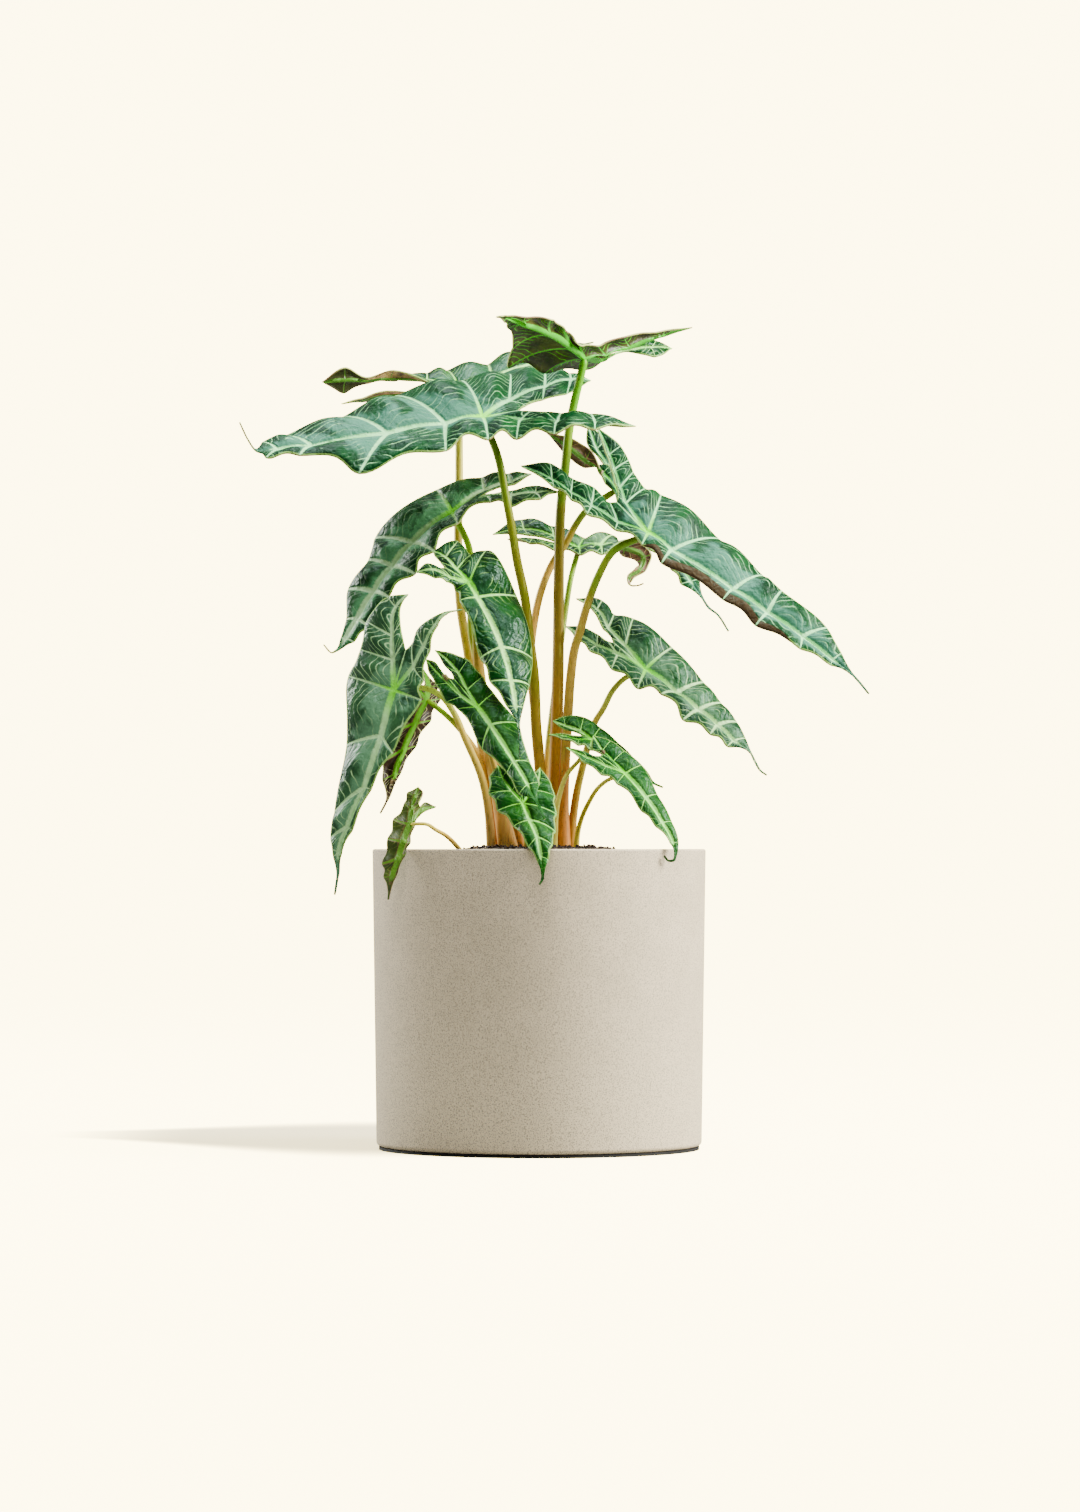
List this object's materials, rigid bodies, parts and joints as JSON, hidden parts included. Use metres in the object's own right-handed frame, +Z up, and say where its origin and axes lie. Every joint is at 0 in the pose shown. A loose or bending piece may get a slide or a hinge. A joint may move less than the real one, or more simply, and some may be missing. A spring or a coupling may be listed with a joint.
{
  "type": "potted plant",
  "caption": "Small potted alocasia with arrow-shaped, pale-veined leaves on long stalks, in a plain stoneware cylinder pot with soil and a thin foot pad.",
  "frame": {"origin": "centre of the foot pad's flat underside, on the ground", "axes": "+Z up, the longest extent; the plant's front, as pictured, faces -Y"},
  "size_m": [0.3312, 0.1939, 0.4447],
  "materials": {
    "stoneware": "matte, finely speckled",
    "foot_rubber": "matte",
    "potting_soil": "crumbly, matte",
    "blade_green": "satin, quilted between pale veins",
    "blade_young_green": "satin",
    "blade_bronze_underside": "satin",
    "stalk_tan": "smooth, satin",
    "stalk_green": "smooth, satin"
  },
  "bodies": {
    "root": {"blade_back_centre": "blade_green", "blade_back_left": "blade_green", "blade_behind_left": "blade_bronze_underside", "blade_behind_right": "blade_green", "blade_centre": "blade_green", "blade_front": "blade_young_green", "blade_low_centre": "blade_young_green", "blade_low_left": "blade_bronze_underside", "blade_low_right_back": "blade_young_green", "blade_low_right_front": "blade_young_green", "blade_lower_left": "blade_green", "blade_mid_left": "blade_green", "blade_mid_right": "blade_green", "blade_right": "blade_green", "blade_top": "blade_bronze_underside", "blade_upper_left": "blade_green", "foot_pad": "foot_rubber", "pot": "stoneware", "soil": "potting_soil", "stalk_back_centre": "stalk_green", "stalk_back_left": "stalk_tan", "stalk_behind_left": "stalk_green", "stalk_behind_right": "stalk_tan", "stalk_centre": "stalk_tan", "stalk_front": "stalk_tan", "stalk_low_centre": "stalk_tan", "stalk_low_left": "stalk_tan", "stalk_low_right_back": "stalk_tan", "stalk_low_right_front": "stalk_tan", "stalk_lower_left": "stalk_tan", "stalk_mid_left": "stalk_green", "stalk_mid_right": "stalk_tan", "stalk_right": "stalk_tan", "stalk_top": "stalk_tan", "stalk_upper_left": "stalk_tan"}
  },
  "joints": []
}
